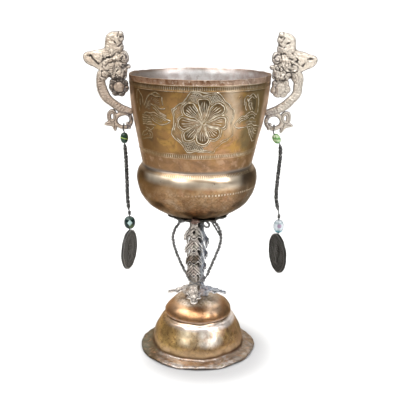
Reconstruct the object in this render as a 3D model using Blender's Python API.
# Two-handled chalice: engraved brass bowl, leafy cast stem with wire bows, hollow
# copper foot, cast dragon handles, and a pendant of beads, wrapped wire and a coin
# under each handle.  Metres, +Z up, origin on the ground under the bowl's axis.
# All sizes below are in millimetres.

import math

import bpy
import bmesh
from mathutils import Matrix, Vector

MM = 0.001
GAP = 0.35            # clearance between pieces that touch
SEG = 28              # facets round the turned pieces

# ---- bowl ------------------------------------------------------------------
BOWL_T = 1.1          # sheet thickness
RIM_Z, RIM_R = 255.0, 61.0
WAIST_Z, WAIST_R = 176.9, 48.3
BULGE_Z, BULGE_R = 162.0, 53.3
BOTTOM_Z = 128.0
BOWL_LEAN = -2.0      # the belly stands this far off the rim's centre, along X
# ---- foot ------------------------------------------------------------------
FOOT_T = 1.0
FOOT_TOP_Z = 50.3
DOME_R, DOME_Z = 30.8, 37.0
COVE_R, COVE_Z = 29.3, 33.4
DRUM_R, DRUM_Z = 42.3, 5.6
FLANGE_R = 53.6
# ---- calyx -----------------------------------------------------------------
CALYX_R, CALYX_T, CALYX_TEETH = 29.5, 1.3, 14
# ---- stem ------------------------------------------------------------------
STEM_X = -2.0         # the stem stands a little to the left of the bowl's axis
STEM_TOP_Z = 125.6
LEAF_HALF_W = 7.7
FOOT_LEAF_R = 27.6    # reach of the leaf feet from the stem's axis
BOW_R = 1.25
# ---- handles ---------------------------------------------------------------
RING_X, RING_Z, RING_A, RING_B, RING_TUBE = 65.7, 213.6, 6.8, 6.0, 2.1
FLOWER_X, FLOWER_Z, FLOWER_R = 69.7, 242.8, 8.9
BODY_W, BODY_D = 7.0, 6.2
PIVOT_X, PIVOT_Z = 65.0, 255.0      # each handle leans a little about the rim
HANDLE_TURN = {-1: 0.6, 1: 1.2}     # degrees, clockwise seen from the front
HANDLE_SHIFT = {-1: -0.15, 1: -0.3}
# ---- pendants --------------------------------------------------------------
COIN_R, COIN_T = 18.4, 2.2
WIRE_R, STRAND_R = 0.5, 1.85


def material(name, color, rough, metal):
    mat = bpy.data.materials.new(name)
    mat.use_nodes = True
    bsdf = mat.node_tree.nodes["Principled BSDF"]
    bsdf.inputs["Base Color"].default_value = (*color, 1.0)
    bsdf.inputs["Roughness"].default_value = rough
    bsdf.inputs["Metallic"].default_value = metal
    return mat


def add_object(name, verts, faces, mat, smooth=40.0):
    """A mesh object from millimetre points, closed, with its faces turned out."""
    bm = bmesh.new()
    vs = [bm.verts.new(Vector(v) * MM) for v in verts]
    for f in faces:
        bm.faces.new([vs[i] for i in f])
    bmesh.ops.recalc_face_normals(bm, faces=bm.faces)
    if bm.calc_volume(signed=True) < 0:
        bmesh.ops.reverse_faces(bm, faces=bm.faces)
    mesh = bpy.data.meshes.new(name)
    bm.to_mesh(mesh)
    bm.free()
    obj = bpy.data.objects.new(name, mesh)
    bpy.context.scene.collection.objects.link(obj)
    if mat is not None:
        mesh.materials.append(mat)
    finish(obj, smooth)
    return obj


def finish(obj, smooth):
    obj.data.shade_smooth()
    obj.data.set_sharp_from_angle(angle=math.radians(smooth))


def spline(points, count):
    """Catmull-Rom curve through the points, count steps of equal length."""
    pts = [Vector(p) for p in points]
    dim = len(points[0])
    ext = [2 * pts[0] - pts[1]] + pts + [2 * pts[-1] - pts[-2]]
    fine = []
    steps = 24
    for i in range(1, len(ext) - 2):
        p0, p1, p2, p3 = ext[i - 1:i + 3]
        for k in range(steps):
            t = k / steps
            fine.append(0.5 * ((2 * p1) + (p2 - p0) * t
                               + (2 * p0 - 5 * p1 + 4 * p2 - p3) * t * t
                               + (3 * p1 - p0 - 3 * p2 + p3) * t ** 3))
    fine.append(pts[-1])
    run = [0.0]
    for a, b in zip(fine, fine[1:]):
        run.append(run[-1] + (b - a).length)
    out, j = [], 0
    for k in range(count + 1):
        want = run[-1] * k / count
        while j < len(run) - 2 and run[j + 1] < want:
            j += 1
        span = run[j + 1] - run[j]
        f = 0.0 if span < 1e-9 else (want - run[j]) / span
        p = fine[j].lerp(fine[j + 1], f)
        out.append(tuple(p[i] for i in range(dim)))
    return out


def offset_inward(profile, dist):
    """The profile moved by the sheet's thickness to the side of the axis."""
    out = []
    for i, (r, z) in enumerate(profile):
        r0, z0 = profile[max(i - 1, 0)]
        r1, z1 = profile[min(i + 1, len(profile) - 1)]
        dr, dz = r1 - r0, z1 - z0
        length = math.hypot(dr, dz)
        out.append((r + dz / length * dist, z - dr / length * dist))
    return out


def lathe(name, profile, mat, seg=SEG, place=None, smooth=40.0, drift=None):
    """Solid of revolution.  A point on the axis becomes a pole; without poles
    the profile closes on itself.  drift(z) shifts a ring along X."""
    verts, rings = [], []
    for k, (r, z) in enumerate(profile):
        dx = drift(z) if drift else 0.0
        if r < 1e-6:
            rings.append([len(verts)])
            verts.append((dx, 0.0, z))
            continue
        ring = []
        for i in range(seg):
            a = 2 * math.pi * i / seg
            ring.append(len(verts))
            verts.append((dx + r * math.cos(a), r * math.sin(a), z))
        rings.append(ring)
    faces = []
    pairs = list(zip(rings, rings[1:]))
    if len(rings[0]) > 1:
        pairs.append((rings[-1], rings[0]))
    for a, b in pairs:
        for i in range(seg):
            j = (i + 1) % seg
            if len(a) == 1:
                faces.append((a[0], b[i], b[j]))
            elif len(b) == 1:
                faces.append((a[i], b[0], a[j]))
            else:
                faces.append((a[i], b[i], b[j], a[j]))
    if place is not None:
        verts = [tuple(place @ Vector(v)) for v in verts]
    return add_object(name, verts, faces, mat, smooth)


def loft(name, sections, mat, smooth=50.0):
    """Closed solid through rings of equal point count, with flat end caps."""
    n = len(sections[0])
    verts = [p for s in sections for p in s]
    faces = []
    for k in range(len(sections) - 1):
        for i in range(n):
            j = (i + 1) % n
            faces.append((k * n + i, (k + 1) * n + i, (k + 1) * n + j, k * n + j))
    faces.append(tuple(range(n)))
    faces.append(tuple((len(sections) - 1) * n + i for i in range(n)))
    return add_object(name, verts, faces, mat, smooth)


def tube(name, path, radii, mat, sides=8, squash=1.0):
    """Round bar along a path in the X-Z plane; squash scales its depth in Y."""
    sections = []
    for k, p in enumerate(path):
        a = Vector(path[max(k - 1, 0)])
        b = Vector(path[min(k + 1, len(path) - 1)])
        tangent = (b - a).normalized()
        side = Vector((0, 1, 0))
        up = tangent.cross(side).normalized()
        side = up.cross(tangent).normalized()
        r = radii[k] if isinstance(radii, (list, tuple)) else radii
        ring = []
        for i in range(sides):
            ang = 2 * math.pi * (i + 0.5) / sides
            ring.append(tuple(Vector(p) + up * (r * math.cos(ang))
                              + side * (r * squash * math.sin(ang))))
        sections.append(ring)
    return loft(name, sections, mat)


def ellipsoid(name, centre, axes, mat, seg=12, rows=7, turn=0.0):
    """Ellipsoid turned about Y by turn degrees, poles along its local Z."""
    profile = [(math.sin(math.pi * k / rows), math.cos(math.pi * k / rows))
               for k in range(rows + 1)]
    profile[0], profile[-1] = (0.0, 1.0), (0.0, -1.0)
    place = (Matrix.Translation(Vector(centre))
             @ Matrix.Rotation(math.radians(turn), 4, 'Y')
             @ Matrix.Diagonal((*axes, 1.0)))
    return lathe(name, profile, mat, seg, place)


def torus(name, centre, a, b, tube_r, mat, seg=16, sides=6, plane='XZ'):
    """Ring with half axes a and b in the given plane."""
    verts, faces = [], []
    for i in range(seg):
        u = 2 * math.pi * i / seg
        for k in range(sides):
            v = 2 * math.pi * (k + 0.5) / sides
            out = tube_r * math.cos(v)
            p, q = (a + out) * math.cos(u), (b + out) * math.sin(u)
            w = tube_r * math.sin(v)
            local = (p, w, q) if plane == 'XZ' else (w, p, q)
            verts.append(tuple(Vector(centre) + Vector(local)))
    for i in range(seg):
        for k in range(sides):
            i2, k2 = (i + 1) % seg, (k + 1) % sides
            faces.append((i * sides + k, i2 * sides + k, i2 * sides + k2, i * sides + k2))
    return add_object(name, verts, faces, mat)


def weld(name, parts, mat, smooth=40.0):
    """Boolean union of closed parts into one casting."""
    base = parts[0]
    for part in parts[1:]:
        mod = base.modifiers.new("join", 'BOOLEAN')
        mod.operation = 'UNION'
        mod.solver = 'EXACT'
        mod.object = part
    deps = bpy.context.evaluated_depsgraph_get()
    deps.update()
    mesh = bpy.data.meshes.new_from_object(base.evaluated_get(deps))
    for part in parts:
        bpy.data.objects.remove(part, do_unlink=True)
    bm = bmesh.new()
    bm.from_mesh(mesh)
    bmesh.ops.remove_doubles(bm, verts=bm.verts, dist=0.00002)
    bmesh.ops.dissolve_degenerate(bm, edges=bm.edges, dist=0.00001)
    bm.to_mesh(mesh)
    bm.free()
    mesh.name = name
    mesh.materials.clear()
    mesh.materials.append(mat)
    obj = bpy.data.objects.new(name, mesh)
    bpy.context.scene.collection.objects.link(obj)
    finish(obj, smooth)
    return obj


# ---------------------------------------------------------------------------
def bowl_outline(upper_steps, lower_steps):
    """Outer profile, rim to bottom pole: flared wall, sharp waist, bulge, belly."""
    wall = spline([(RIM_R, RIM_Z), (60.1, 240), (58.4, 225), (53.9, 205),
                   (50.9, 190), (WAIST_R, WAIST_Z)], upper_steps)
    belly = spline([(WAIST_R, WAIST_Z), (51.6, 172.4), (BULGE_R - 0.2, 167.9),
                    (BULGE_R, BULGE_Z), (51.7, 155), (49.1, 149), (43.0, 141),
                    (32.0, 133.9), (23.0, 130.6), (12.0, 128.6), (0.0, BOTTOM_Z)],
                   lower_steps)
    return wall, belly


def foot_outline(steps):
    """Outer profile from the crown of the dome to the edge of the flange."""
    dome = spline([(0.0, FOOT_TOP_Z), (6, 50.1), (12, 49.5), (18, 48.0), (24, 45.0),
                   (28.5, 41.0), (DOME_R, DOME_Z), (30.3, 34.6), (COVE_R, COVE_Z)],
                  steps[0])
    drum = spline([(COVE_R, COVE_Z), (30.2, 32.2), (32.8, 30.5), (34.9, 27),
                   (37.1, 23), (39.3, 19), (41.2, 14), (42.0, 9), (DRUM_R, DRUM_Z)],
                  steps[1])
    flange = spline([(DRUM_R, DRUM_Z), (43.2, 4.6), (46, 3.7), (50, 2.7),
                     (53.0, 1.6), (FLANGE_R, 0.8)], steps[2])
    return dome, drum, flange


def height_at(profile, radius):
    """Height of a profile at a radius, taken along its first matching span."""
    for (r0, z0), (r1, z1) in zip(profile, profile[1:]):
        if min(r0, r1) <= radius <= max(r0, r1) and abs(r1 - r0) > 1e-9:
            return z0 + (z1 - z0) * (radius - r0) / (r1 - r0)
    return profile[0][1]


def bowl_drift(z):
    """Sideways shift of the bowl's rings: none at the rim, full at the waist."""
    t = min(1.0, max(0.0, (RIM_Z - z) / (RIM_Z - WAIST_Z)))
    return BOWL_LEAN * t


def make_bowl(mat):
    wall, belly = bowl_outline(8, 12)
    outer = wall + belly[1:]
    wall_i, belly_i = bowl_outline(5, 8)
    inner = offset_inward(wall_i + belly_i[1:], BOWL_T)
    inner[0] = (RIM_R - BOWL_T, RIM_Z)
    inner[-1] = (0.0, BOTTOM_Z + BOWL_T)
    return lathe("bowl", list(reversed(inner)) + outer, mat, smooth=30, drift=bowl_drift)


def make_foot(mat):
    dome, drum, flange = foot_outline((8, 6, 4))
    outer = dome + drum[1:] + flange[1:] + [(FLANGE_R - 0.1, 0.0)]
    dome_i, drum_i, flange_i = foot_outline((5, 4, 3))
    inner = offset_inward(dome_i + drum_i[1:] + flange_i[1:-1], FOOT_T)
    inner[0] = (0.0, FOOT_TOP_Z - FOOT_T)
    inner.append((FLANGE_R - 1.9, 0.0))
    return lathe("foot", outer + list(reversed(inner)), mat, smooth=30)


def make_calyx(belly, mat):
    """Thin dish that follows the bowl's underside, with a sawtooth leaf edge."""
    seg = 2 * CALYX_TEETH
    radii = [8.0, 16.0, 23.5, CALYX_R]
    verts, faces = [], []
    for drop in (0.6, 0.6 + CALYX_T):
        verts.append((BOWL_LEAN, 0.0, BOTTOM_Z - drop))
        for k, ring in enumerate(radii):
            for i in range(seg):
                a = 2 * math.pi * i / seg
                r = ring * (0.9 if k == len(radii) - 1 and i % 2 else 1.0)
                verts.append((BOWL_LEAN + r * math.cos(a), r * math.sin(a),
                              height_at(belly, r) - drop))
    side = 1 + seg * len(radii)
    for i in range(seg):
        j = (i + 1) % seg
        for base in (0, side):
            faces.append((base, base + 1 + i, base + 1 + j))
            for k in range(len(radii) - 1):
                a, b = base + 1 + k * seg, base + 1 + (k + 1) * seg
                faces.append((a + i, b + i, b + j, a + j))
        rim = 1 + seg * (len(radii) - 1)
        faces.append((rim + i, side + rim + i, side + rim + j, rim + j))
    return add_object("calyx_plate", verts, faces, mat, 30)


def make_strip(name, azimuth, radii, first, pitch, half_w, dome, mat, shift=0.0, lift=0.0):
    """Cast strip of overlapping leaves that flares into a leaf foot.

    azimuth is the way the strip faces; radii are its face's distances from the
    stem's axis at the top and bottom leaf.  A section is (radius, z, half width,
    proud height, depth, lean) where lean turns it from facing out to facing up."""
    top_r, low_r = radii
    low_z = first - 3 * pitch

    def face(z):
        t = min(1.0, max(0.0, (z - low_z) / (first - low_z)))
        return low_r + (top_r - low_r) * t
    secs = [(top_r, STEM_TOP_Z, 3.4, 0.8, 1.3, 0)]
    for k in range(4):
        zb = first - pitch * k
        w = half_w * (1.0 - 0.055 * k)
        p = 3.9 - 0.3 * k
        top = zb + pitch - 0.9
        secs.append((face(top), top, 3.4, 0.8, 1.3, 0))
        secs.append((face(zb), zb + 0.6 * pitch, w * 0.7, p * 0.5, 1.2, 0))
        secs.append((face(zb), zb + 0.2 * pitch, w, p * 0.88, 1.2, 0))
        secs.append((face(zb), zb + 0.5, w * 0.91, p, 1.2, 0))
        secs.append((face(zb), zb - 0.3, 3.2, 0.9, 1.3, 0))
    tip = FOOT_LEAF_R + max(0.0, 1.6 * lift)
    secs += [(low_r + 0.1, 62.6, 3.6, 1.0, 1.3, 10),
             (low_r + 1.6, 58.6, 4.2, 1.0, 1.6, 38),
             (tip * 0.40, 56.0, 4.9, 1.1, 2.0, 64),
             (tip * 0.58, 54.3 + lift * 0.6, 5.9, 1.1, 1.3, 78),
             (tip * 0.77, 53.2 + lift, 6.3, 1.0, 1.0, 80),
             (tip * 0.91, 52.3 + lift, 4.2, 0.7, 0.8, 78),
             (tip, 51.4 + lift, 0.9, 0.4, 0.6, 75)]
    az = math.radians(azimuth)
    out_dir = Vector((math.cos(az), math.sin(az), 0))
    side = Vector((-math.sin(az), math.cos(az), 0))
    origin = Vector((STEM_X, 0, 0)) + side * shift
    rings = []
    for k, (r, z, hw, proud, depth, lean) in enumerate(secs):
        le = math.radians(lean)
        n = out_dir * math.cos(le) + Vector((0, 0, 1)) * math.sin(le)
        c = origin + out_dir * r + Vector((0, 0, z))
        edge = proud - 1.1
        back = min(edge - 0.9, -depth * 0.4)
        shape = [(-hw, edge), (0, proud + 0.3), (hw, edge),
                 (hw * 0.75, back), (0, -depth), (-hw * 0.75, back)]
        ring = [c + side * t + n * h for t, h in shape]
        if 25 < lean < 79 and r < tip * 0.6:
            # heel: the underside of the leaf's root comes down to the dome
            for i, t in ((3, 0.7), (4, 0.0), (5, -0.7)):
                p = origin + out_dir * (r - 0.8) + side * (t * hw)
                ring[i] = Vector((p.x, p.y, height_at(dome, math.hypot(p.x, p.y)) + GAP))
                if r > tip * 0.5:
                    ring[i].z += 1.8
        rings.append([tuple(p) for p in ring])
    return loft(name, rings, mat, smooth=35)


def make_bow(name, sign, mat):
    """Twisted wire bow from under the calyx out and back to the strips."""
    if sign < 0:
        pts = [(-11.0, 124.6), (-14.4, 122.8), (-18.2, 119.4), (-21.4, 114.5),
               (-23.5, 108.2), (-23.0, 100.6), (-20.4, 91.6), (-17.4, 84.0)]
        end = (-13.6, 75.0)
    else:
        pts = [(9.2, 124.4), (12.8, 122.6), (16.3, 119.0), (19.3, 113.2),
               (20.4, 107.0), (19.4, 99.0), (16.6, 91.0), (13.8, 84.0)]
        end = (9.8, 73.5)
    path = spline([(x, 0.0, z) for x, z in pts + [end]], 12)
    return tube(name, path, BOW_R, mat, sides=6)


def handle_point(sign, x, z):
    """A point of the handle's own drawing, mirrored by sign and leaned."""
    a = math.radians(HANDLE_TURN[sign])
    dx, dz = sign * (x * 1.007 - PIVOT_X), z - PIVOT_Z
    return (sign * PIVOT_X + HANDLE_SHIFT[sign] + dx * math.cos(a) + dz * math.sin(a),
            PIVOT_Z - dx * math.sin(a) + dz * math.cos(a))


def make_handle(name, sign, mat):
    """Cast dragon, built on the +X side and mirrored by sign."""
    def at(x, z, y=0.0):
        px, pz = handle_point(sign, x, z)
        return (px, y, pz)
    p = []
    # ribbed S-shaped body
    spine = spline([at(82.5, 255), at(84.8, 247.5), at(84.4, 240), at(82.0, 233.3),
                    at(77.9, 228.0), at(72.8, 224.4), at(67.0, 221.8),
                    at(62.2, 219.6)], 11)
    spine3 = [(x, y, z) for x, y, z in spine]
    radii = [BODY_W / 2 * (1.0 + 0.07 * (k % 2)) for k in range(len(spine3))]
    radii[-1] = BODY_W / 2 * 0.62
    p.append(tube("a", spine3, radii, None, 8, BODY_D / BODY_W))
    # chest, jaw, head, curled snout, crest curl
    p.append(ellipsoid("a", at(73.6, 256.2), (13.2, 5.6, 6.6), None, 10, 6))
    p.append(ellipsoid("a", at(71.5, 267.6), (11.6, 5.6, 8.2), None, 10, 6))
    p.append(ellipsoid("a", at(73.2, 279.3), (9.0, 6.3, 10.4), None, 10, 6))
    p.append(ellipsoid("a", at(65.2, 266.8), (5.0, 4.4, 5.3), None, 8, 5))
    p.append(ellipsoid("a", at(67.8, 286.0), (3.2, 3.4, 3.8), None, 8, 5))
    # pointed ear standing out from the head
    ear = []
    for x, z, h, d in ((78.0, 266.0, 8.8, 3.6), (85.5, 265.4, 8.6, 3.2),
                       (92.0, 265.6, 6.6, 2.5), (97.0, 266.3, 4.0, 1.8),
                       (100.2, 266.6, 1.2, 0.9)):
        ear.append([at(x + 0.10 * h * math.sin(2 * math.pi * (i + 0.5) / 8),
                       z + h * math.sin(2 * math.pi * (i + 0.5) / 8),
                       d * math.cos(2 * math.pi * (i + 0.5) / 8)) for i in range(8)])
    p.append(loft("a", ear, None))
    # paw cluster: a lobed rosette with a low boss on each face
    seg = 18
    rows = ((-3.4, 0.34), (-3.0, 0.48), (-2.7, 0.80), (0.0, 1.0), (2.7, 0.80), (3.0, 0.48),
            (3.4, 0.34))
    verts, faces = [], []
    for y, s in rows:
        for i in range(seg):
            u = 2 * math.pi * i / seg
            r = FLOWER_R * s * (0.94 + 0.06 * math.cos(6 * u))
            verts.append(at(FLOWER_X + r * math.cos(u), FLOWER_Z + r * math.sin(u), y))
    for k in range(len(rows) - 1):
        for i in range(seg):
            j = (i + 1) % seg
            faces.append((k * seg + i, (k + 1) * seg + i, (k + 1) * seg + j, k * seg + j))
    faces.append(tuple(range(seg)))
    faces.append(tuple((len(rows) - 1) * seg + i for i in range(seg - 1, -1, -1)))
    p.append(add_object("a", verts, faces, None))
    # rim knob, lower ring, volute and the two points of the fishtail
    p.append(ellipsoid("a", at(63.4, 258.4), (2.7, 2.6, 2.4), None, 8, 5))
    p.append(torus("a", at(RING_X, RING_Z), RING_A, RING_B, RING_TUBE, None, 14, 6))
    p.append(torus("a", at(76.4, 216.6), 3.9, 3.9, 1.9, None, 12, 5))
    for x0, z0, x1, z1, r in ((75.5, 212.6, 81.4, 210.0, 1.7), (74.6, 212.4, 73.3, 203.8, 1.8)):
        path = spline([at(x0, z0), at((x0 + x1) / 2, (z0 + z1) / 2 - 0.3), at(x1, z1)], 3)
        p.append(tube("a", path, [r, r * 0.95, r * 0.7, 0.35], None, 6))
    return weld(name, p, mat)


def bead_profile(radius, half_h, bore, steps=5):
    """Rounded bead with a hole through it, as a closed loop."""
    out = []
    for k in range(steps + 1):
        a = math.pi * (0.12 + 0.76 * k / steps)
        out.append((radius * math.sin(a) ** 0.8, half_h * math.cos(a) / math.cos(math.pi * 0.12)))
    return out + [(bore, -half_h), (bore, half_h)]


def make_bead(name, centre, radius, half_h, mat, turn=0.0):
    place = Matrix.Translation(Vector(centre)) @ Matrix.Rotation(math.radians(turn), 4, 'Y')
    return lathe(name, bead_profile(radius, half_h, WIRE_R + 0.4), mat, 10, place)


def make_coin(name, centre, face_turn, mat):
    """Coin hanging by its edge, raised rim round a sunk field."""
    h = COIN_T / 2
    profile = [(0.0, h - 0.3), (COIN_R - 2.0, h - 0.3), (COIN_R - 1.4, h),
               (COIN_R, h), (COIN_R, -h), (COIN_R - 1.4, -h),
               (COIN_R - 2.0, -h + 0.3), (0.0, -h + 0.3)]
    place = (Matrix.Translation(Vector(centre))
             @ Matrix.Rotation(math.radians(face_turn), 4, 'Z')
             @ Matrix.Rotation(math.radians(90), 4, 'X'))
    return lathe(name, profile, mat, 24, place, smooth=25)


def make_wire(name, sign, upper, strand, lower, mat):
    """One wire: loop round the handle's ring, thin shank through the upper bead,
    the thick wrapped strand, thin shank through the lower bead to the coin."""
    hang_x, hang_z = handle_point(sign, RING_X, RING_Z - RING_B)
    loop_r = RING_TUBE + 0.9
    loop = torus("a", (hang_x, 0, hang_z), loop_r, loop_r, WIRE_R, None, 12, 5, plane='YZ')
    upper = [(hang_x, hang_z - loop_r)] + upper
    middle = spline([(x, 0.0, z) for x, z in strand], 13)
    last = len(middle) - 1
    thick = [STRAND_R * min(1.0, 0.5 + 0.5 * k, 0.5 + 0.5 * (last - k)) for k in range(last + 1)]
    path = [(x, 0.0, z) for x, z in upper] + middle + [(x, 0.0, z) for x, z in lower]
    radii = [WIRE_R] * len(upper) + thick + [WIRE_R] * len(lower)
    return weld(name, [tube("a", path, radii, None, 6), loop], mat)


def main():
    for obj in list(bpy.data.objects):
        bpy.data.objects.remove(obj, do_unlink=True)

    brass = material("bowl_brass", (0.42, 0.25, 0.10), 0.32, 1.0)
    copper = material("foot_copper", (0.40, 0.21, 0.13), 0.30, 1.0)
    dark = material("calyx_dark", (0.05, 0.045, 0.04), 0.55, 1.0)
    rivet = material("calyx_copper", (0.30, 0.17, 0.11), 0.40, 1.0)
    pewter = material("stem_pewter", (0.42, 0.40, 0.39), 0.38, 1.0)
    wire = material("bow_wire", (0.22, 0.21, 0.21), 0.42, 1.0)
    cast = material("handle_cast", (0.52, 0.46, 0.39), 0.38, 1.0)
    strand = material("pendant_wire", (0.06, 0.06, 0.06), 0.50, 1.0)
    green = material("bead_green", (0.03, 0.12, 0.07), 0.08, 0.0)
    bright = material("bead_bright_green", (0.35, 0.55, 0.20), 0.08, 0.0)
    teal = material("bead_teal", (0.03, 0.09, 0.09), 0.08, 0.0)
    clear = material("bead_clear", (0.80, 0.85, 0.86), 0.05, 0.0)
    coin = material("coin_silver", (0.16, 0.15, 0.14), 0.45, 1.0)

    make_bowl(brass)
    make_foot(copper)
    _, belly = bowl_outline(12, 60)
    dome, _, _ = foot_outline((60, 4, 4))
    make_calyx(list(reversed(belly)), dark)
    ellipsoid("calyx_rivet", (-3.4, -32.7, 131.2), (3.2, 2.3, 2.1), rivet, 10, 5)

    # the four strips; the leaves of neighbouring strips are out of step
    for name, azimuth, radii, first, pitch, half_w, shift, lift in (
            ("stem_strip_front", -88.0, (7.9, 6.9), 108.7, 12.1, LEAF_HALF_W, -2.7, 0.0),
            ("stem_strip_right", -6.0, (7.4, 5.0), 101.7, 12.2, 6.8, 0.0, 0.9),
            ("stem_strip_back", 86.0, (7.6, 6.9), 104.0, 12.2, 7.0, 0.0, 0.0),
            ("stem_strip_left", 176.0, (5.6, 4.8), 104.8, 12.4, 6.6, 0.0, -0.7)):
        make_strip(name, azimuth, radii, first, pitch, half_w, dome, pewter, shift, lift)
    make_bow("wire_bow_left", -1, wire)
    make_bow("wire_bow_right", 1, wire)

    make_handle("handle_left", -1, cast)
    make_handle("handle_right", 1, cast)

    # left pendant: hangs straight
    make_wire("pendant_wire_left", -1,
              [(-66.3, 203.4), (-66.3, 198.0), (-66.3, 192.9)],
              [(-66.0, 192.1), (-65.3, 182.7), (-64.8, 164.6), (-64.5, 147.5),
               (-64.0, 138.5), (-63.5, 132.7)],
              [(-63.2, 131.5), (-63.0, 127.1), (-63.0, 113.3)], strand)
    make_bead("bead_upper_left", (-66.3, 0, 198.0), 3.55, 4.6, green)
    make_bead("bead_lower_left", (-63.0, 0, 120.1), 5.2, 5.6, teal)
    make_coin("coin_left", (-63.6, 0, 94.4), 75.0, coin)

    # right pendant: the upper bead leans and the strand kinks outward under it
    lean = math.radians(31.0)
    ax, az = math.sin(lean), -math.cos(lean)
    bx, bz = 67.7, 198.4
    make_wire("pendant_wire_right", 1,
              [(bx - 5.3 * ax, bz - 5.3 * az), (bx + 5.3 * ax, bz + 5.3 * az)],
              [(71.5, 192.5), (71.7, 185.6), (71.0, 173.6), (70.0, 160.6), (69.3, 149.6),
               (69.9, 140.6), (71.7, 133.1)],
              [(72.2, 131.7), (72.6, 124.6), (72.6, 110.9)], strand)
    make_bead("bead_upper_right", (bx, 0, bz), 3.55, 4.4, bright, turn=-31.0)
    make_bead("bead_lower_right", (72.6, 0, 117.8), 4.9, 6.0, clear)
    make_coin("coin_right", (72.2, 0, 91.9), -73.0, coin)


main()
